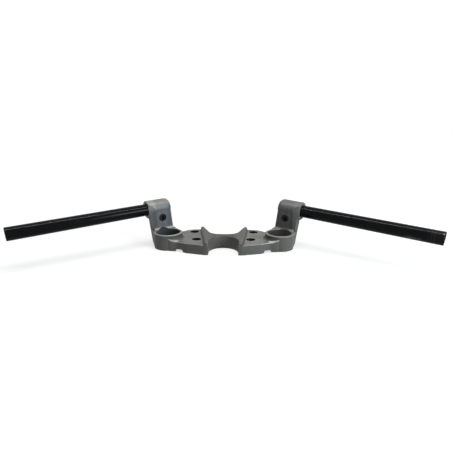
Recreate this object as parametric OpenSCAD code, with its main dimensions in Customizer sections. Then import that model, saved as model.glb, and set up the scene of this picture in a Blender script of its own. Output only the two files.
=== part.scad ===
// Motorcycle handlebar made of one cast bridge and two plain steel bar tubes.
// The bridge sits over both fork legs. A leaning riser behind each fork eye ends in a
// split clamp boss, and a pinch bolt under the tube draws the clamp shut.
// X runs to the right bar, Y away from the rider, Z up. The origin lies midway between
// the fork bores on the flat underside. Every size is in millimetres.

/* [Bar tubes] */
// Outside diameter of each bar tube
bar_d = 22.2; // [21.8:0.1:22.6]
// Wall thickness of each bar tube
bar_wall = 2.6; // [2:0.1:3.2]
// Length of tube that shows outside the clamp boss
bar_reach = 233.5; // [180:0.5:260]
// Length of tube held inside the clamp boss
bar_seat = 40; // [34:1:42]
// Angle at which the bars sweep back toward the rider
bar_sweep = 34.7; // [33:0.1:36]
// Angle at which the bars drop toward their ends
bar_drop = 2.5; // [1:0.1:4]

/* [Fork eyes] */
// Distance between the two fork bores
fork_span = 206; // [203:0.5:209]
// Diameter of each fork bore
fork_bore = 44.8; // [43.8:0.1:45.4]
// Wall of the eye round the fork bore
eye_wall = 3.8; // [3.4:0.1:4.4]
// Height of the eye above the underside
eye_h = 28.4; // [26:0.1:30]

/* [Bridge] */
// Height of the machined flats beside the eyes
plate_h = 17.8; // [16.5:0.1:19]
// Height of the arch at its narrow middle
arch_h = 22.7; // [21.8:0.1:23.8]
// Angle at which the top of the arch climbs toward the rear
arch_climb = 1.7; // [1:0.1:2.4]
// Radius of the round recess that clears the steering head nut
recess_r = 26.3; // [25.4:0.1:27]
// Distance from the fork line to the front wall of the web
web_front = 7.4; // [6.6:0.1:8.2]
// Thickness of the web from front to rear
web_t = 13.7; // [12.4:0.1:15]
// Distance from the fork line to the horn tips
horn_reach = 46.9; // [46:0.1:49]

/* [Clamp risers] */
// Sideways place of the clamp boss face
boss_x = 145.4; // [144.4:0.1:146.4]
// Fore and aft place of the clamp boss face
boss_y = 17.8; // [17.4:0.1:18.6]
// Height of the bar axis at the clamp boss face
boss_z = 65.4; // [63:0.1:68]
// Outside radius of the clamp boss
boss_r = 16.5; // [16:0.1:17]
// Length of the clamp boss along the bar
boss_len = 46; // [45:0.5:47]
// Thickness of the riser from front to rear
riser_t = 19; // [18:0.5:20]

/* [Pinch bolts] */
// Distance of each pinch bolt below the bar axis
pinch_drop = 16; // [15.9:0.1:16.6]
// Distance of each pinch bolt inboard of the boss face
pinch_in = 26; // [22:0.5:30]

/* [Bridge bolts] */
// Sideways place of the rear bolt holes
rear_hole_x = 57.3; // [56.3:0.1:58.3]
// Fore and aft place of the rear bolt holes
rear_hole_y = 38.8; // [37.5:0.1:40]
// Sideways place of the front bolt holes
front_hole_x = 49.7; // [49.2:0.1:50.7]
// Fore and aft place of the front bolt holes
front_hole_y = -9.6; // [-11:0.1:-8]
// Clearance hole for each bridge bolt
bolt_hole_d = 10.5; // [9:0.5:11]
// Seat sunk for each bridge bolt head
bolt_seat_d = 17.6; // [16.5:0.1:18]
// Depth of that seat below the flat
bolt_seat_depth = 8; // [6.5:0.5:10]

/* [Hidden] */
$fn = 72;
deep = 400;

web_rear = web_t - web_front;
eye_r = fork_bore / 2 + eye_wall;
fork_x = fork_span / 2;

// Slot of the clamp and the bore that the tube sits in
clamp_play = 0.05;
bar_bore_r = bar_d / 2 + clamp_play;
boss_front = -boss_r + 0.3;
riser_rear = boss_front + riser_t;
slot_w = 2;

// Socket screw of the pinch joint
pinch_d = 8;
pinch_head_d = 13;
pinch_head_h = 8;
pinch_hex = 6;
pinch_hex_depth = 4;
pinch_sunk = 1;
pinch_play = 0.3;
thread_play = 0.02;
pinch_seat_y = boss_front + pinch_sunk + pinch_head_h;
pinch_end_y = boss_r - 2.5;
pinch_split_y = riser_rear + slot_w / 2;

// Lug behind the riser that takes the thread of the pinch bolt
lug_rear = boss_r - 0.3;
lug_in = -boss_len + 3;
lug_out = -12;
lug_drop = 25.5;

// Channel across the underside in front of each eye
notch_x = 79;
notch_y = -17;
notch_h = 4.5;
notch_top = 10;
notch_flare = 0.5;

// Foot line of the rib beside the machined flat
rib_foot_x = 34.3;
rib_foot_y = -40;
rib_splay = 7.6;
rib_flank = 14;
crest_r = 3.5;

// Lean of the riser sides seen along the front normal, and how far they stand from the boss ends
lean_out = 7.5;
lean_in = 5.6;
side_out = -1.1;
side_in = -boss_len + 0.5;
inner_edge = 5;
outer_edge = 3;
rear_edge = 4.5;
boss_edge = 9;
foot_r = 6;
collar_r = 6;
neck_inset = 0.4;

// Place of the fork bore seen from the boss, along the bar and toward the rear
eye_along = (fork_x - boss_x) * cos(bar_sweep) + boss_y * sin(bar_sweep);
eye_ahead = (fork_x - boss_x) * sin(bar_sweep) - boss_y * cos(bar_sweep);

// Chamfer down the outer front corner of the riser and boss
crease_x = -11;
crease_turn = 22;

// Spread of the recess wall from bottom to top
recess_draft = 1.5;

cast_grey = [0.52, 0.52, 0.5];
paint_black = [0.07, 0.07, 0.08];
bolt_black = [0.16, 0.16, 0.17];

function unit(v) = v / norm(v);

// Points of a round corner at b between a and c, or b itself where the radius is nought
function corner(a, b, c, r) =
    r <= 0 ? [b] :
    let (u = unit(a - b), v = unit(c - b))
    let (half = acos(u * v) / 2)
    let (centre = b + unit(u + v) * r / sin(half))
    let (p = b + u * r / tan(half) - centre, q = b + v * r / tan(half) - centre)
    let (start = atan2(p[1], p[0]), turn = (atan2(q[1], q[0]) - start + 540) % 360 - 180)
    let (steps = max(2, ceil(abs(turn) / 7)))
    [for (i = [0 : steps]) centre + r * [cos(start + turn * i / steps), sin(start + turn * i / steps)]];

// Closed outline from corners given as x, y and radius
function outline(pts) =
    let (n = len(pts), at = [for (p = pts) [p[0], p[1]]])
    [for (i = [0 : n - 1]) each corner(at[(i + n - 1) % n], at[i], at[(i + 1) % n], pts[i][2])];

// Section of a fillet of radius r, with its wall at x = 0 and its floor at y = 0, both sunk a little
function fillet(r) = concat(
    [for (a = [0 : 10 : 80]) [r * (sin(a) - 1), r * (1 - cos(a))]],
    [[0.1, r], [3, r], [3, -0.5], [-r, -0.5]]
);

// Right half of the bridge seen from above, rear middle first
right_plan = [
    [23.2, web_rear, 22],
    [40.8, 52, 2.5],
    [50.5, 56, 5],
    [68, 52, 12],
    [82, 39, 8],
    [90, 36.5, 6],
    [fork_x - 3, 40, 0],
    [fork_x + 9, 20, 0],
    [fork_x + 9, -20, 0],
    [fork_x - 7, -27.4, 14],
    [83.5, -28, 14],
    [66, -37.8, 16],
    [33, -horn_reach, 6.5],
    [20, -horn_reach, 0]
];
left_plan = [for (i = [len(right_plan) - 1 : -1 : 0]) let (p = right_plan[i]) [-p[0], p[1], p[2]]];

// Runs its children for the right side and mirrored for the left side
module both_sides() {
    children();
    mirror([1, 0, 0]) children();
}

// Places its children on the right boss: x along the bar outward, y to the rear, z up
module at_boss() {
    translate([boss_x, boss_y, boss_z]) rotate([0, 0, -bar_sweep]) children();
}

// Places its children on the bar axis with z along the bar outward
module along_bar() {
    at_boss() rotate([0, 90 + bar_drop, 0]) children();
}

// Places its children on the pinch bolt axis with z to the rear
module along_pinch() {
    at_boss() translate([-pinch_in, 0, -pinch_drop + pinch_in * tan(bar_drop)])
        rotate([-90, 0, 0]) children();
}

// Plate, horns, ribs and web cut from one outline
module bridge_body() {
    difference() {
        linear_extrude(arch_h + 8) polygon(outline(concat(right_plan, left_plan)));
        translate([0, -web_front, arch_h]) rotate([arch_climb, 0, 0])
            translate([-deep / 2, -deep / 2, 0]) cube([deep, deep, 40]);
        both_sides() {
            flat_cut();
            crest_cut();
        }
        recess_cut();
    }
}

// Round recess between the horns, opening upward by the draft of its wall
module recess_cut() {
    translate([0, -web_front - recess_r, -1])
        linear_extrude(arch_h + 3, scale = 1 + recess_draft / recess_r) polygon(outline([
            [recess_r, recess_r, recess_r - 0.2],
            [recess_r, -2 * recess_r, 0],
            [-recess_r, -2 * recess_r, 0],
            [-recess_r, recess_r, recess_r - 0.2]
        ]));
}

// Material taken off above a machined flat, up to the sloping flank of the rib
module flat_cut() {
    translate([rib_foot_x, rib_foot_y, plate_h]) rotate([90, 0, -rib_splay])
        translate([0, 0, -deep / 2]) linear_extrude(deep)
            polygon([[0, 0], [deep, 0], [deep, 40], [-40 * tan(rib_flank), 40]]);
}

// Material taken off to round the crest of the rib between its flank and the sloping top
module crest_cut() {
    crest_h = arch_h - plate_h + (rib_foot_y + web_front) * tan(arch_climb);
    crest = [-crest_h * tan(rib_flank), crest_h];
    arc = corner([0, 0], crest, crest - [10, 0], crest_r);
    last = len(arc) - 1;
    low = 3 * arc[0] - 2 * arc[1];
    high = 3 * arc[last] - 2 * arc[last - 1];
    climb = atan(tan(arch_climb) * cos(rib_splay) / cos(rib_flank));
    translate([rib_foot_x, rib_foot_y, plate_h]) rotate([90, 0, -rib_splay])
        rotate(climb, [cos(rib_flank), sin(rib_flank), 0])
            translate([0, 0, -deep / 2]) linear_extrude(deep)
                polygon(concat([low], arc, [high, [high[0], 20], [10, 20], [10, low[1]]]));
}

// Eye round the fork leg
module fork_eye() {
    translate([fork_x, 0, 0]) rotate_extrude()
        polygon([[0, 0], [eye_r, 0], [eye_r, eye_h - 0.8], [eye_r - 0.8, eye_h], [0, eye_h]]);
}

// Solid metal that joins the eye to the foot of the riser
module eye_neck() {
    hull() {
        translate([fork_x, 0, 0]) cylinder(r = eye_r - neck_inset, h = eye_h - neck_inset, $fn = 48);
        at_boss() neck_at(-boss_z);
        at_boss() neck_at(-boss_z + eye_h - neck_inset - 0.1);
    }
}

// Thin slice of the neck at height z over the bar axis, just inside the riser
module neck_at(z) {
    translate([0, 0, z]) linear_extrude(0.1) polygon(outline([
        [riser_in(z) + neck_inset, boss_front + neck_inset, 2],
        [crease_x, boss_front + neck_inset, 0],
        [riser_out(z) - neck_inset, boss_front + neck_inset + crease_back(z), 0],
        [riser_out(z) - neck_inset, riser_rear - neck_inset, rear_edge],
        [riser_in(z) + neck_inset, riser_rear - neck_inset, 2]
    ]));
}

// Fillet where the collar of the eye meets the flat
module eye_fillet() {
    intersection() {
        linear_extrude(eye_h) polygon(outline(right_plan));
        translate([fork_x, 0, plate_h]) rotate_extrude()
            translate([eye_r, 0]) mirror([1, 0]) polygon(fillet(collar_r));
    }
}

// Riser and clamp boss of one side, with the chamfer down their outer front corner
module tower() {
    difference() {
        union() {
            riser();
            along_bar() boss();
        }
        at_boss() translate([crease_x, boss_front, -boss_z - 1]) rotate([0, 0, crease_turn])
            translate([-4, -boss_r, 0]) cube([boss_len, boss_r, boss_z + boss_r + 5]);
    }
}

// Leaning riser with round edges, from the underside up into the clamp boss
module riser() {
    hull() {
        at_boss() riser_at(-boss_z, outer_edge, inner_edge);
        at_boss() riser_at(-0.1, outer_edge, boss_edge);
    }
}

// Where the inner and outer sides of the riser stand at height z over the bar axis
function riser_in(z) = side_in + z * tan(lean_in);
function riser_out(z) = side_out + z * tan(lean_out);

// How far the chamfer has cut back the front where it meets the outer side at height z
function crease_back(z) = (riser_out(z) - crease_x) * tan(crease_turn);

// Thin slice of the riser at height z over the bar axis
module riser_at(z, outer, inner) {
    translate([0, 0, z]) linear_extrude(0.1) polygon(outline([
        [riser_in(z), boss_front, inner],
        [riser_out(z), boss_front, outer],
        [riser_out(z), riser_rear, rear_edge],
        [riser_in(z), riser_rear, 3]
    ]));
}

// Fillet along the front of the riser where it stands on the eye, run out at both ends
module foot_fillet() {
    z = eye_h - boss_z;
    low_in = riser_in(z) - 2;
    low_out = riser_out(z) + 1;
    high_in = riser_in(z + foot_r) + inner_edge;
    high_out = crease_x - 1;
    intersection() {
        translate([low_in, boss_front, z - 0.3]) rotate([90, 0, 90]) linear_extrude(low_out - low_in)
            polygon(fillet(foot_r));
        translate([0, riser_rear, 0]) rotate([90, 0, 0]) linear_extrude(deep) polygon([
            [low_in, z - 1],
            [low_out, z - 1],
            [high_out, z + foot_r],
            [high_in, z + foot_r]
        ]);
        translate([0, 0, z - 1]) linear_extrude(foot_r + 2) polygon([
            [riser_in(z), riser_rear],
            [eye_along - eye_r + 0.3, eye_ahead],
            [eye_along + eye_r - 0.3, eye_ahead],
            [riser_out(z), riser_rear]
        ]);
    }
}

// Clamp boss, rounded at its inner end
module boss() {
    rotate_extrude() polygon(outline([
        [0, -boss_len, 0],
        [boss_r, -boss_len, boss_edge],
        [boss_r, 0, 0.8],
        [0, 0, 0]
    ]));
}

// Lug behind the riser that takes the thread of the pinch bolt
module clamp_lug() {
    translate([lug_in, 0, 0]) rotate([90, 0, 90]) linear_extrude(lug_out - lug_in)
        polygon(outline([
            [riser_rear + slot_w, 0, 0],
            [lug_rear, 0, 0],
            [lug_rear, -lug_drop, 5],
            [riser_rear + slot_w, -lug_drop, 1.5]
        ]));
}

// All that is taken out of the right riser: tube bore, slot and bolt passage
module clamp_cuts() {
    along_bar() translate([0, 0, -bar_seat - 0.5]) cylinder(r = bar_bore_r, h = bar_seat + 10);
    at_boss() translate([-boss_len - 2, riser_rear, -30]) cube([boss_len + 6, slot_w, 30]);
    along_pinch() {
        translate([0, 0, boss_front - 5])
            cylinder(d = pinch_head_d + 1, h = pinch_seat_y - boss_front + 5);
        translate([0, 0, boss_front])
            cylinder(d = pinch_d + 2 * pinch_play, h = pinch_split_y - boss_front);
        translate([0, 0, pinch_split_y]) cylinder(d = pinch_d + 2 * thread_play, h = 30);
    }
}

// Fork bore, which also bites an arch out of the fillet at the foot of the riser
module fork_cut() {
    translate([fork_x, 0, -1]) cylinder(d = fork_bore, h = eye_h + 12);
}

// Sunk seat and clearance hole for one bridge bolt
module bolt_cut(x, y) {
    translate([x, y, -1]) cylinder(d = bolt_hole_d, h = plate_h + 2);
    translate([x, y, plate_h - bolt_seat_depth]) cylinder(d = bolt_seat_d, h = bolt_seat_depth + 12);
}

// Channel across the underside in front of each eye
module under_notch() {
    half = notch_top / 2;
    foot = half + (notch_h + 1) * notch_flare;
    translate([notch_x, notch_y, 0]) rotate([90, 0, 0]) linear_extrude(30)
        polygon([[-foot, -1], [-half, notch_h], [half, notch_h], [foot, -1]]);
}

module bridge_casting() {
    color(cast_grey) difference() {
        union() {
            bridge_body();
            both_sides() {
                fork_eye();
                eye_neck();
                eye_fillet();
                tower();
                at_boss() foot_fillet();
                at_boss() clamp_lug();
            }
        }
        both_sides() {
            clamp_cuts();
            fork_cut();
            under_notch();
            bolt_cut(rear_hole_x, rear_hole_y);
            bolt_cut(front_hole_x, front_hole_y);
        }
    }
}

// Plain tube from inside the clamp boss to its open end
module bar_tube() {
    color(paint_black) along_bar() translate([0, 0, -bar_seat]) rotate_extrude() {
        r = bar_d / 2;
        polygon([
            [r - bar_wall, 0],
            [r, 0],
            [r, bar_seat + bar_reach - 0.6],
            [r - 0.6, bar_seat + bar_reach],
            [r - bar_wall, bar_seat + bar_reach]
        ]);
    }
}

// Socket head screw, head toward the rider
module pinch_bolt() {
    color(bolt_black) along_pinch() difference() {
        union() {
            translate([0, 0, pinch_seat_y - pinch_head_h]) cylinder(d = pinch_head_d, h = pinch_head_h);
            translate([0, 0, pinch_seat_y - 1]) cylinder(d = pinch_d, h = pinch_end_y - pinch_seat_y + 1);
        }
        translate([0, 0, pinch_seat_y - pinch_head_h - 1])
            cylinder(d = pinch_hex / cos(30), h = pinch_hex_depth + 1, $fn = 6);
    }
}

module right_bar_tube() {
    bar_tube();
}

module left_bar_tube() {
    mirror([1, 0, 0]) bar_tube();
}

module right_pinch_bolt() {
    pinch_bolt();
}

module left_pinch_bolt() {
    mirror([1, 0, 0]) pinch_bolt();
}

bridge_casting();
left_bar_tube();
right_bar_tube();
left_pinch_bolt();
right_pinch_bolt();
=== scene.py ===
import math

import bpy
from mathutils import Matrix, Vector


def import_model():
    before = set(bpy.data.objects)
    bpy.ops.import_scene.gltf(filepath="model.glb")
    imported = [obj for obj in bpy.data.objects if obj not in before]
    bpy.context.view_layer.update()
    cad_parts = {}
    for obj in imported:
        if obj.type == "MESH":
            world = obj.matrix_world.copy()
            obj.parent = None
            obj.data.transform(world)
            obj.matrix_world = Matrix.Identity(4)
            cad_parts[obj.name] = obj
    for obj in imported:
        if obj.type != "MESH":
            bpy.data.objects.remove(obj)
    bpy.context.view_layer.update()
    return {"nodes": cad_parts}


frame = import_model()
nodes = frame["nodes"]
scene = bpy.context.scene

# Places that the materials refer to, in metres, as in the part's source
MM = 0.001
BOSS = Vector((145.4, 17.8, 65.4)) * MM
SWEEP, DROP = math.radians(34.7), math.radians(2.5)
REACH = 233.5 * MM
FORK_X = 103 * MM
BORE_R = 22.4 * MM
EYE_H = 28.4 * MM
PLATE_H = 17.8 * MM
RIB_FOOT = Vector((34.3, -40, 0)) * MM
RIB_SPLAY = math.radians(7.6)
REAR_HOLE = Vector((57.3, 38.8, 0)) * MM
FRONT_HOLE = Vector((49.7, -9.6, 0)) * MM
SEAT_R = 8.8 * MM
PINCH_ALONG, PINCH_Z = -26 * MM, 50.5 * MM

# Marks, changes of tone and places of painted light and shade, read from the photograph
SIDE_CHANGE = 30 * MM
FLAT_TIP = Vector((98, -18, 0)) * MM
CREASE_ALONG = -12.2 * MM
# Where the painted highlight on the wall of the eye starts, and how fast it climbs
WALL_HIGHLIGHT_X, WALL_HIGHLIGHT_CLIMB = 83 * MM, 0.2
PIT_X, PIT_Z = -1.3 * MM, 3.7 * MM
SHADOW_SHIFT = 1 * MM

# How far the mask of a hole stands off its wall or its rim
SKIN = 0.1 * MM

# Middle and radius of each pale speck on the paint of the bars, in millimetres
BAR_SPECKS = (
    ((-279.9, -82.9, 67.3), 0.5),
    ((-254.3, -65.9, 68.2), 0.5),
    ((-228.8, -48.6, 69.3), 0.5),
    ((331.5, -119.6, 63.8), 1.1),
)

# Light levels, at which a grey card tilted 45 degrees up to the front renders about as it is written
FLOOR_GLOW = 0.66
ROOM_LIGHT = 0.16
OVERHEAD = 13.5
STRIP = 17
KEY = 13

# Half the width of the floor, in metres
FLOOR_HALF = 6.0

# Camera: f, centre and pose fitted to the photograph, which is 452 pixels square
SIDE = 452
SENSOR = 36
FOCAL, CENTRE_X, CENTRE_Y = 368.25, 221.56, 241.06
TILT, YAW, ROLL = 0.31027, -0.017943, 0.004654
OFFSET = Vector((3.82625, 10.79347, 690.04423)) * MM


def rgb(r, g, b):
    return (r, g, b, 1)


def grey(v):
    return rgb(v, v, v)


class Tree:
    """Short ways to add shader nodes to one material."""

    def __init__(self, name):
        self.material = bpy.data.materials.new(name)
        self.material.use_nodes = True
        self.nt = self.material.node_tree
        self.shader = self.nt.nodes["Principled BSDF"]
        self.coords = self.nt.nodes.new("ShaderNodeTexCoord").outputs["Object"]

    def put(self, socket, value):
        if isinstance(value, bpy.types.NodeSocket):
            self.nt.links.new(value, socket)
        else:
            socket.default_value = value

    def node(self, kind, inputs=(), **settings):
        n = self.nt.nodes.new(kind)
        for key, value in settings.items():
            setattr(n, key, value)
        for key, value in dict(inputs).items():
            self.put(n.inputs[key], value)
        return n

    def math(self, operation, a, b=0.5, clamp=False):
        return self.node("ShaderNodeMath", {0: a, 1: b}, operation=operation, use_clamp=clamp).outputs[0]

    def times(self, first, *others):
        product = first
        for factor in others:
            product = self.math("MULTIPLY", product, factor)
        return product

    def rest_of(self, mask):
        return self.math("SUBTRACT", 1.0, mask)

    def off(self, value, middle):
        """How far a value lies from a middle, either way."""
        return self.math("ABSOLUTE", self.math("SUBTRACT", value, middle))

    def vmath(self, operation, a, b=(0, 0, 0)):
        n = self.node("ShaderNodeVectorMath", {0: a, 1: b}, operation=operation)
        return n.outputs["Value" if operation in ("DOT_PRODUCT", "LENGTH", "DISTANCE") else "Vector"]

    def split(self, vector):
        return self.node("ShaderNodeSeparateXYZ", {0: vector}).outputs

    def join(self, x, y, z):
        return self.node("ShaderNodeCombineXYZ", {0: x, 1: y, 2: z}).outputs[0]

    def noise(self, vector, scale, detail, rough):
        inputs = {"Vector": vector, "Scale": scale, "Detail": detail, "Roughness": rough}
        return self.node("ShaderNodeTexNoise", inputs).outputs["Fac"]

    def wave(self, vector, scale, distortion, **settings):
        inputs = {"Vector": vector, "Scale": scale, "Distortion": distortion, "Detail": 1.0}
        return self.node("ShaderNodeTexWave", inputs, **settings).outputs["Fac"]

    def span(self, value, low, high, to_low=0.0, to_high=1.0):
        """Smooth change from to_low at low to to_high at high, held beyond both."""
        n = self.node("ShaderNodeMapRange", {0: value, 1: low, 2: high, 3: to_low, 4: to_high})
        n.interpolation_type = "SMOOTHSTEP"
        n.clamp = True
        return n.outputs[0]

    def mix(self, amount, a, b):
        n = self.node("ShaderNodeMix", data_type="RGBA")
        self.put(n.inputs[0], amount)
        self.put(n.inputs[6], a)
        self.put(n.inputs[7], b)
        return n.outputs[2]

    def layer(self, base, mask, strength, colour):
        return self.mix(self.times(mask, strength), base, colour)

    def bump(self, height, distance, strength, below=None):
        n = self.node("ShaderNodeBump", {"Height": height, "Distance": distance, "Strength": strength})
        if below is not None:
            self.put(n.inputs["Normal"], below)
        return n.outputs[0]

    def finish(self, **inputs):
        for key, value in inputs.items():
            self.put(self.shader.inputs[key.replace("_", " ")], value)
        return self.material


class Casting(Tree):
    """The tree of the casting, with the places and patterns that its layers share."""

    def __init__(self):
        super().__init__("cast_aluminium")
        self.x, self.y, self.z = self.split(self.coords)
        self.ax = self.math("ABSOLUTE", self.x)
        self.side = self.join(self.ax, self.y, self.z)
        self.plan = self.join(self.ax, self.y, 0)
        self.left = self.span(self.x, SIDE_CHANGE, -SIDE_CHANGE)

        # Along the bar from the outer end of the boss, and across it toward the rear
        from_boss = self.vmath("SUBTRACT", self.side, tuple(BOSS))
        self.along = self.vmath("DOT_PRODUCT", from_boss, (math.cos(SWEEP), -math.sin(SWEEP), 0))
        self.across = self.vmath("DOT_PRODUCT", from_boss, (math.sin(SWEEP), math.cos(SWEEP), 0))
        self.in_front = self.span(self.across, 5 * MM, -5 * MM)

        self.cloud = self.noise(self.coords, 22, 4, 0.6)
        self.stain = self.noise(self.coords, 60, 5, 0.65)
        self.grain = self.noise(self.coords, 900, 3, 0.6)

        self.find_faces()
        self.find_edges()

    def find_faces(self):
        """Masks of the machined faces, the risers, their crowns and the bolt seats."""
        self.true_normal = self.node("ShaderNodeNewGeometry").outputs["True Normal"]
        self.up = self.split(self.true_normal)[2]
        on_flat = self.math("LESS_THAN", self.off(self.z, PLATE_H), 0.3 * MM)
        on_rim = self.math("LESS_THAN", self.off(self.z, EYE_H), 0.9 * MM)
        flat = self.times(on_flat, self.span(self.up, 0.93, 0.98))
        rim = self.times(on_rim, self.span(self.up, 0.5, 0.7))
        from_bore = self.vmath("DISTANCE", self.plan, (FORK_X, 0, 0))
        in_bore = self.math("LESS_THAN", from_bore, BORE_R + SKIN)
        self.bore = self.times(in_bore, self.math("LESS_THAN", self.z, EYE_H + 8 * MM))
        self.machined = self.math("MAXIMUM", flat, rim, clamp=True)
        self.turned = self.math("MAXIMUM", rim, self.bore, clamp=True)

        self.tower = self.span(self.z, EYE_H - 4 * MM, EYE_H + 12 * MM)
        high = self.span(self.z, BOSS.z - 2 * MM, BOSS.z + 9 * MM)
        self.crown = self.times(high, self.span(self.up, 0.1, 0.7))

        near_rear = self.vmath("DISTANCE", self.plan, tuple(REAR_HOLE))
        near_front = self.vmath("DISTANCE", self.plan, tuple(FRONT_HOLE))
        near = self.math("MINIMUM", near_rear, near_front)
        in_seat = self.math("LESS_THAN", near, SEAT_R + SKIN)
        self.seat = self.times(in_seat, self.math("LESS_THAN", self.z, PLATE_H - SKIN))

    def find_edges(self):
        """Normals rounded over the edges, and how far a place is bent out or closed in."""
        self.round_normal = self.node("ShaderNodeBevel", {"Radius": 1.3 * MM}, samples=8).outputs[0]
        wide_normal = self.node("ShaderNodeBevel", {"Radius": 2.2 * MM}, samples=8).outputs[0]
        self.bend = self.rest_of(self.vmath("DOT_PRODUCT", wide_normal, self.true_normal))
        occlusion = self.node("ShaderNodeAmbientOcclusion", {"Distance": 5 * MM}, samples=8, only_local=True)
        self.corner = occlusion.outputs["AO"]
        self.open_edge = self.times(self.span(self.bend, 0.015, 0.16), self.span(self.corner, 0.72, 0.9))
        # Pale outer edges, partly wear and partly painted highlight.
        self.wear_and_sheen = self.times(self.open_edge, self.span(self.stain, 0.36, 0.56, 0.1, 0.8))
        self.at_flat = self.span(self.off(self.z, PLATE_H), 1.6 * MM, 1.0 * MM)

    def by_side(self, right, left):
        """A number that changes from the right half of the part to the left half."""
        return self.span(self.left, 0.0, 1.0, right, left)

    def riser_colour(self):
        """The risers are smoother, brighter and cooler than the bridge; the left one is painted paler and
        bluer as painted light, and both carry painted highlights and painted shade.
        """
        rub = self.noise(self.vmath("MULTIPLY", self.side, (260, 260, 14)), 1.0, 3, 0.6)
        # The left riser's tones are painted paler and bluer than the right's, as painted light.
        pale = self.mix(self.left, rgb(0.152, 0.152, 0.147), rgb(0.180, 0.192, 0.200))
        dull = self.mix(self.left, rgb(0.116, 0.116, 0.112), rgb(0.140, 0.151, 0.160))
        base = self.mix(self.span(rub, 0.35, 0.7), dull, pale)

        # Crown of the boss painted lighter as a painted highlight from the light above, paler on the left,
        # with streaks along the bar
        crown_highlight = self.mix(self.left, rgb(0.176, 0.176, 0.168), rgb(0.248, 0.244, 0.228))
        base = self.layer(base, self.crown, 0.9, crown_highlight)
        drawn_out = self.vmath("MULTIPLY", self.join(self.along, self.across, self.z), (45, 420, 420))
        streak = self.times(self.span(self.noise(drawn_out, 1.0, 3, 0.6), 0.52, 0.66), self.crown)
        base = self.layer(base, streak, 0.45, rgb(0.300, 0.262, 0.225))

        # Chamfer on the outer front corner painted darker as painted shade, with a line of painted shade down
        # its crease
        below_crown = self.times(self.in_front, self.span(self.z, BOSS.z + 4 * MM, BOSS.z - 5 * MM))
        chamfer = self.times(self.span(self.along, -12.5 * MM, -10 * MM), below_crown)
        base = self.layer(base, chamfer, 0.2, rgb(0.088, 0.087, 0.082))
        crease = self.times(self.span(self.off(self.along, CREASE_ALONG), 2.0 * MM, 0.7 * MM), below_crown)
        base = self.layer(base, crease, 0.45, rgb(0.050, 0.055, 0.058))

        # Painted highlight on the top of the chamfer, stronger on the left, painted highlight on the outer
        # end on the right, and a dark bluish strip of painted shade on the inner side of the left riser
        shoulder = self.times(self.span(self.along, -15 * MM, -9 * MM), self.in_front)
        shoulder = self.times(shoulder, self.span(self.z, BOSS.z - 4 * MM, BOSS.z + 6 * MM))
        base = self.layer(base, shoulder, self.by_side(0.12, 0.75), rgb(0.36, 0.355, 0.33))
        outer_end = self.times(self.span(self.along, -4.0 * MM, -2.0 * MM), self.in_front)
        base = self.layer(base, outer_end, self.by_side(0.3, 0.0), rgb(0.21, 0.21, 0.20))
        inner = self.times(self.span(self.along, -33 * MM, -42 * MM), self.rest_of(self.crown), self.left)
        return self.layer(base, inner, 0.7, rgb(0.092, 0.108, 0.126))

    def cast_colour(self):
        """Bridge and risers as cast, with painted light and shade on the risers and the foot, before wear,
        painted highlights and painted corner shade.
        """
        clouded = self.span(self.cloud, 0.35, 0.68)
        bridge = self.mix(clouded, rgb(0.116, 0.114, 0.104), rgb(0.148, 0.146, 0.138))
        base = self.mix(self.tower, bridge, self.riser_colour())

        # Fillet at the foot of the riser painted pale as a painted highlight, paler on the left, and the
        # darker top of the web
        foot = self.times(self.span(self.z, EYE_H + 0.4 * MM, EYE_H + 1.2 * MM),
                          self.span(self.z, EYE_H + 9 * MM, EYE_H + 4 * MM),
                          self.span(self.up, 0.25, 0.65))
        foot_highlight = self.mix(self.left, rgb(0.33, 0.33, 0.32), rgb(0.50, 0.51, 0.52))
        base = self.layer(base, foot, 0.9, foot_highlight)
        web = self.times(self.span(self.ax, 26 * MM, 18 * MM), self.span(self.up, 0.5, 0.9))
        base = self.layer(base, web, 0.9, rgb(0.090, 0.089, 0.084))

        base = self.layer(base, self.span(self.stain, 0.54, 0.72), 0.4, rgb(0.118, 0.106, 0.084))
        return self.layer(base, self.span(self.grain, 0.55, 0.8), 0.35, rgb(0.070, 0.069, 0.063))

    def machined_colour(self, base):
        """Flats, rims and fork bores, the bores painted dark as painted shade, with the arch that the bore
        cuts painted lighter on the right and a painted highlight on the lip of the eye.
        """
        flats = self.mix(self.left, rgb(0.222, 0.220, 0.200), rgb(0.168, 0.165, 0.152))
        stained = self.mix(self.span(self.stain, 0.4, 0.7), flats, rgb(0.150, 0.146, 0.130))
        base = self.mix(self.machined, base, stained)
        # The bores are painted dark as painted shade inside them, bluer on the left.
        bores = self.mix(self.left, rgb(0.098, 0.096, 0.088), rgb(0.056, 0.060, 0.063))
        stained = self.mix(self.span(self.stain, 0.4, 0.65), bores, rgb(0.082, 0.082, 0.078))
        base = self.mix(self.bore, base, stained)

        # The arch that the bore cuts into the riser is painted lighter on the right side only, as painted
        # light.
        above_rim = self.span(self.z, EYE_H - 0.2 * MM, EYE_H + 0.8 * MM)
        arch = self.times(self.bore, above_rim, self.rest_of(self.left))
        base = self.layer(base, arch, 0.85, rgb(0.25, 0.25, 0.235))

        # Painted highlight along the lip at the front of each eye, stronger on the left.
        lip = self.times(self.span(self.z, EYE_H - 1.8 * MM, EYE_H - 0.9 * MM),
                         self.span(self.z, EYE_H + 0.6 * MM, EYE_H + 0.3 * MM),
                         self.span(self.y, 4 * MM, -4 * MM),
                         self.rest_of(self.bore))
        return self.layer(base, lip, self.by_side(0.5, 0.9), rgb(0.31, 0.305, 0.29))

    def flat_highlights(self):
        """Painted highlights on the tip and front edge of each flat, and a painted highlight rising on the
        wall of the eye beyond the flat's tip.
        """
        tip = self.span(self.vmath("DISTANCE", self.plan, tuple(FLAT_TIP)), 19 * MM, 12 * MM)
        tip = self.times(tip, self.at_flat, self.span(self.ax, 90 * MM, 87 * MM, 0.0, 0.35))

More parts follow.
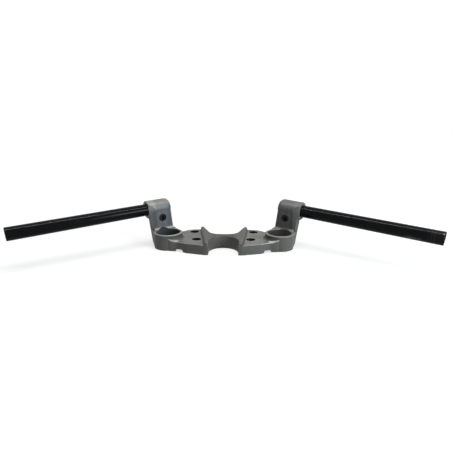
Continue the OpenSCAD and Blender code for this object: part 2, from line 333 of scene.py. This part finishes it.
        forward = self.span(self.y, -12 * MM, -18 * MM)
        edge = self.times(self.span(self.bend, 0.008, 0.06),
                          self.span(self.corner, 0.5, 0.7),
                          self.at_flat,
                          self.span(self.ax, 62 * MM, 80 * MM, 0.1, 0.9),
                          self.span(self.ax, 92 * MM, 88 * MM),
                          forward)

        # Painted highlight as a thin line climbing the wall of the eye from the end of the flat.
        climb = self.times(self.math("SUBTRACT", self.ax, WALL_HIGHLIGHT_X), WALL_HIGHLIGHT_CLIMB)
        line_z = self.math("ADD", climb, PLATE_H + 0.2 * MM)
        wall_highlight = self.times(self.span(self.off(self.z, line_z), 1.2 * MM, 0.5 * MM),
                            self.span(self.ax, 101 * MM, 98 * MM),
                            self.span(self.ax, 78 * MM, 85 * MM),
                            forward,
                            self.rest_of(self.bore))
        return self.math("MAXIMUM", self.math("MAXIMUM", tip, edge), wall_highlight)

    def wear(self, base, highlights):
        """Outer edges painted pale, partly as wear and partly as painted highlight, most of all where they
        were cut, and the painted highlights of the flats laid on, paler on the right.
        """
        base = self.layer(base, self.wear_and_sheen, 0.6, rgb(0.30, 0.295, 0.28))
        by_rim = self.span(self.off(self.z, EYE_H), 1.8 * MM, 1.2 * MM)
        cut_edge_highlight = self.times(self.math("MAXIMUM", self.at_flat, by_rim), self.open_edge)
        strength = self.span(self.cloud, 0.35, 0.6, 0.35, 0.9)
        base = self.layer(base, cut_edge_highlight, strength, rgb(0.52, 0.515, 0.49))
        bright = self.mix(self.left, rgb(0.78, 0.775, 0.75), rgb(0.56, 0.555, 0.53))
        return self.layer(base, highlights, 0.85, bright)

    def corner_shade(self, base, highlights):
        """Painted shade in inner corners, along the feet of the ribs and on the inner walls of the eyes."""
        # Painted shade from the occlusion of nearby surfaces, broken up by the grain.
        corner_shade = self.times(self.span(self.corner, 0.86, 0.55), self.span(self.grain, 0.3, 0.6, 0.7, 1.0))
        corner_shade = self.times(corner_shade, self.rest_of(highlights))

        from_foot = self.vmath("SUBTRACT", self.side, tuple(RIB_FOOT))
        from_rib = self.vmath("DOT_PRODUCT", from_foot, (math.cos(RIB_SPLAY), -math.sin(RIB_SPLAY), 0))
        by_rib = self.times(self.span(self.math("ABSOLUTE", from_rib), 3.0 * MM, 1.4 * MM),
                            self.span(self.z, PLATE_H + 3 * MM, PLATE_H + 1.5 * MM),
                            self.span(self.z, PLATE_H - 0.6 * MM, PLATE_H - 0.3 * MM))
        collar = self.times(self.span(self.z, PLATE_H + 0.4 * MM, PLATE_H + 2 * MM),
                            self.span(self.z, EYE_H - 0.5 * MM, EYE_H - 1.5 * MM),
                            self.span(self.ax, FORK_X, FORK_X - 10 * MM),
                            self.span(self.ax, 62 * MM, 66 * MM))

        corner_shade = self.math("MAXIMUM", corner_shade, self.times(by_rib, 0.8))
        corner_shade = self.math("MAXIMUM", corner_shade, self.times(collar, 0.45))
        return self.layer(base, corner_shade, 0.85, rgb(0.030, 0.028, 0.022))

    def holes(self, base, pit):
        """Painted shadow round the heads of the pinch bolts, shifted to one side, bolt seats painted dark
        brown as a stain with painted shade, and a pit in the round recess.
        """
        middle = self.by_side(PINCH_ALONG - SHADOW_SHIFT, PINCH_ALONG + SHADOW_SHIFT)
        from_pinch = self.vmath("DISTANCE", self.join(self.along, 0, self.z), self.join(middle, 0, PINCH_Z))
        # Painted shadow in the recess round each pinch bolt head, shifted to one side.
        recess_shadow = self.times(self.span(from_pinch, 7.8 * MM, 6.8 * MM), self.in_front)
        base = self.layer(base, recess_shadow, 0.8, rgb(0.018, 0.021, 0.026))
        # Bolt seats painted dark brown: a brown stain with painted shade inside the holes.
        brown_stain_and_shade = self.mix(self.span(self.stain, 0.4, 0.65), rgb(0.024, 0.022, 0.014), rgb(0.042, 0.038, 0.026))
        base = self.mix(self.seat, base, brown_stain_and_shade)
        return self.mix(pit, base, rgb(0.012, 0.012, 0.010))

    def pit(self):
        """Small pit low on the wall of the round recess."""
        away = self.vmath("DISTANCE", self.join(self.x, 0, self.z), (PIT_X, 0, PIT_Z))
        return self.times(self.span(away, 1.4 * MM, 0.8 * MM), self.math("LESS_THAN", self.y, -7.0 * MM))

    def roughness(self):
        rough = self.span(self.cloud, 0.3, 0.7, 0.48, 0.62)
        rough = self.math("SUBTRACT", rough, self.times(self.math("MAXIMUM", self.machined, self.wear_and_sheen), 0.14))
        return self.math("SUBTRACT", rough, self.times(self.tower, 0.10))

    def relief(self, pit):
        """Sand cast skin, turning marks on the machined faces and in the bores, and the pit."""
        fine, coarse = self.noise(self.coords, 1400, 2, 0.5), self.noise(self.coords, 260, 3, 0.6)
        sand = self.math("ADD", fine, self.times(coarse, 1.6))
        smooth = self.math("MAXIMUM", self.times(self.machined, 0.85), self.times(self.tower, 0.45))
        sand = self.times(sand, self.rest_of(smooth))
        from_fork = self.vmath("SUBTRACT", self.side, (FORK_X, 0, 0))
        arcs = self.wave(from_fork, 520, 1.2, wave_type="RINGS", rings_direction="Z")
        feed = self.wave(self.coords, 320, 0.6, wave_type="BANDS", bands_direction="Z")
        normal = self.bump(sand, 0.10 * MM, 0.8, self.round_normal)
        normal = self.bump(self.times(arcs, self.machined), 0.02 * MM, 0.5, normal)
        normal = self.bump(self.times(feed, self.turned), 0.02 * MM, 0.4, normal)
        return self.bump(self.rest_of(pit), 0.8 * MM, 1.0, normal)


def cast_aluminium():
    t = Casting()
    highlights, pit = t.flat_highlights(), t.pit()
    base = t.machined_colour(t.cast_colour())
    base = t.wear(base, highlights)
    base = t.corner_shade(base, highlights)
    base = t.holes(base, pit)
    return t.finish(Base_Color=base, Roughness=t.roughness(), Metallic=0.15, Specular_IOR_Level=0.12,
                    Normal=t.relief(pit))


def black_paint():
    t = Tree("black_paint")
    p = t.coords
    x, y, z = t.split(p)
    side = t.join(t.math("ABSOLUTE", x), y, z)
    axis = (math.cos(SWEEP) * math.cos(DROP), -math.sin(SWEEP) * math.cos(DROP), -math.sin(DROP))
    s = t.vmath("DOT_PRODUCT", t.vmath("SUBTRACT", side, tuple(BOSS)), axis)
    dust = t.noise(p, 45, 5, 0.65)
    hue = t.noise(p, 18, 2, 0.5)
    streak = t.noise(t.join(t.times(s, 25), t.times(z, 900), t.times(y, 30)), 1.0, 3, 0.6)
    nick = t.node("ShaderNodeTexVoronoi", {"Vector": p, "Scale": 150}).outputs["Distance"]
    base = t.mix(t.span(hue, 0.4, 0.6), rgb(0.0022, 0.0028, 0.0040), rgb(0.0028, 0.0034, 0.0032))
    base = t.layer(base, t.span(dust, 0.5, 0.75), 0.7, grey(0.008))
    base = t.layer(base, t.span(streak, 0.66, 0.78), 0.16, grey(0.05))
    base = t.layer(base, t.span(nick, 0.06, 0.03), 0.7, grey(0.20))

    # The right bar has marks of a grip at its end
    right = t.math("GREATER_THAN", x, 0.0)
    end = t.times(t.span(s, REACH - 24 * MM, REACH - 21 * MM), right)
    ring = t.span(t.noise(t.join(t.times(s, 420), 0, 0), 1.0, 2, 0.5), 0.52, 0.62)
    base = t.layer(base, end, 0.5, rgb(0.014, 0.013, 0.013))
    base = t.layer(base, t.times(end, ring), 0.35, rgb(0.050, 0.048, 0.048))

    # It is scuffed underneath, short of those marks
    level = t.math("SUBTRACT", z, t.times(s, -math.tan(DROP)))
    scuff = t.times(t.span(s, REACH - 58 * MM, REACH - 46 * MM),
                    t.span(s, REACH - 22 * MM, REACH - 32 * MM),
                    t.span(level, BOSS.z - 2 * MM, BOSS.z - 7 * MM),
                    t.span(dust, 0.38, 0.6),
                    right)
    base = t.layer(base, scuff, 0.85, rgb(0.130, 0.140, 0.125))

    # Small pale specks on the paint of the bars
    for middle, r in BAR_SPECKS:
        away = t.vmath("DISTANCE", p, tuple(Vector(middle) * MM))
        base = t.layer(base, t.span(away, r * 1.3 * MM, r * 0.6 * MM), 0.9, rgb(0.42, 0.42, 0.41))

    rough = t.math("ADD", t.span(dust, 0.3, 0.8, 0.09, 0.24), t.times(t.span(streak, 0.6, 0.8), 0.2))
    rough = t.math("ADD", rough, t.times(t.math("MAXIMUM", t.times(end, 0.3), scuff), 0.25))
    normal = t.bump(t.noise(p, 420, 3, 0.5), 0.03 * MM, 0.6)
    normal = t.bump(t.span(nick, 0.03, 0.07), 0.06 * MM, 0.5, normal)
    return t.finish(Base_Color=base, Roughness=rough, Specular_IOR_Level=0.07, Normal=normal)


def dark_steel():
    t = Tree("dark_steel")
    mottle = t.noise(t.coords, 300, 4, 0.6)
    left = t.span(t.split(t.coords)[0], SIDE_CHANGE, -SIDE_CHANGE)
    base = t.mix(t.span(mottle, 0.4, 0.7), rgb(0.009, 0.009, 0.0135), rgb(0.020, 0.020, 0.028))
    # The left bolt is painted darker, as painted shade in its recess.
    base = t.mix(left, base, rgb(0.004, 0.006, 0.009))
    rough = t.span(mottle, 0.3, 0.7, 0.32, 0.5)
    normal = t.bump(t.noise(t.coords, 1800, 2, 0.5), 0.03 * MM, 0.5)
    return t.finish(Base_Color=base, Roughness=rough, Metallic=0.7, Normal=normal)


def dress(material, *names):
    for name in names:
        slots = nodes[name].data.materials
        slots.clear()
        slots.append(material)


def seen(nt):
    """One on rays that look for the background: those of the camera, of gloss and of glass."""
    path = nt.nodes.new("ShaderNodeLightPath")
    total = path.outputs["Is Camera Ray"]
    for kind in ("Is Glossy Ray", "Is Transmission Ray"):
        most = nt.nodes.new("ShaderNodeMath")
        most.operation = "MAXIMUM"
        nt.links.new(total, most.inputs[0])
        nt.links.new(path.outputs[kind], most.inputs[1])
        total = most.outputs[0]
    return total


def floor():
    """Pale floor that keeps the shadow, lifted to white where it is looked at."""
    mesh = bpy.data.meshes.new("floor")
    r = FLOOR_HALF
    mesh.from_pydata([(-r, -r, 0), (r, -r, 0), (r, r, 0), (-r, r, 0)], [], [(0, 1, 2, 3)])
    obj = bpy.data.objects.new("floor", mesh)
    scene.collection.objects.link(obj)
    t = Tree("floor")
    speck = t.noise(t.coords, 3, 4, 0.6)
    t.finish(Base_Color=t.mix(speck, grey(0.50), grey(0.54)), Roughness=0.9, Specular_IOR_Level=0.0)
    strength = t.span(t.vmath("LENGTH", t.coords), 0.35, 1.1, FLOOR_GLOW, 1.0)
    glow = t.node("ShaderNodeEmission", {"Color": grey(1), "Strength": strength})
    nothing = t.node("ShaderNodeEmission", {"Strength": 0.0})
    lift = t.node("ShaderNodeMixShader", {0: seen(t.nt), 1: nothing.outputs[0], 2: glow.outputs[0]})
    total = t.node("ShaderNodeAddShader", {0: t.shader.outputs[0], 1: lift.outputs[0]})
    t.put(t.nt.nodes["Material Output"].inputs[0], total.outputs[0])
    mesh.materials.append(t.material)


def world():
    """Dim room light, and white where the background is looked at."""
    w = bpy.data.worlds.new("studio")
    scene.world = w
    w.use_nodes = True
    nt = w.node_tree
    plain = nt.nodes["Background"]
    plain.inputs["Color"].default_value = grey(1)
    plain.inputs["Strength"].default_value = ROOM_LIGHT
    white = nt.nodes.new("ShaderNodeBackground")
    white.inputs["Color"].default_value = grey(1)
    white.inputs["Strength"].default_value = 1.0
    mix = nt.nodes.new("ShaderNodeMixShader")
    nt.links.new(seen(nt), mix.inputs[0])
    nt.links.new(plain.outputs[0], mix.inputs[1])
    nt.links.new(white.outputs[0], mix.inputs[2])
    nt.links.new(mix.outputs[0], nt.nodes["World Output"].inputs[0])


def lamp(name, at, aim, size, power, colour=(1, 1, 1), diffuse=True, gloss=True):
    data = bpy.data.lights.new(name, "AREA")
    data.shape = "RECTANGLE"
    data.size, data.size_y = size
    data.energy = power
    data.color = colour
    obj = bpy.data.objects.new(name, data)
    obj.location = at
    obj.rotation_euler = (Vector(aim) - Vector(at)).to_track_quat("-Z", "Y").to_euler()
    obj.visible_diffuse, obj.visible_glossy = diffuse, gloss
    scene.collection.objects.link(obj)


def plane_turn(angle):
    c, s = math.cos(angle), math.sin(angle)
    return Matrix(((c, -s, 0), (s, c, 0), (0, 0, 1)))


def camera():
    c, s = math.cos(TILT), math.sin(TILT)
    look = Matrix(((1, 0, 0), (0, -s, -c), (0, c, -s)))
    r = plane_turn(ROLL) @ look @ plane_turn(YAW)
    data = bpy.data.cameras.new("camera")
    obj = bpy.data.objects.new("camera", data)
    scene.collection.objects.link(obj)
    pose = Matrix((r[0], -r[1], -r[2])).transposed().to_4x4()
    pose.translation = -(r.transposed() @ OFFSET)
    obj.matrix_world = pose
    data.sensor_fit = "HORIZONTAL"
    data.sensor_width = SENSOR
    data.lens = FOCAL * SENSOR / SIDE
    data.shift_x = (SIDE / 2 - CENTRE_X) / SIDE
    data.shift_y = (CENTRE_Y - SIDE / 2) / SIDE
    data.clip_start, data.clip_end = 0.02, 20
    scene.camera = obj


dress(cast_aluminium(), "bridge_casting")
dress(black_paint(), "left_bar_tube", "right_bar_tube")
dress(dark_steel(), "left_pinch_bolt", "right_pinch_bolt")
floor()
world()

# The overhead lamp stays out of gloss, and the strip shows in gloss only, as the line along the bars
lamp("overhead", (0.0, 0.15, 1.5), (0, 0, 0), (1.6, 0.9), OVERHEAD, gloss=False)
lamp("strip", (0.0, -0.15, 1.45), (0, 0, 0), (1.6, 0.06), STRIP, diffuse=False)
lamp("key", (1.1, -0.75, 0.42), (0, 0, 0.03), (0.6, 0.6), KEY, (0.86, 0.95, 1.0))
camera()
scene.view_settings.view_transform = "Standard"
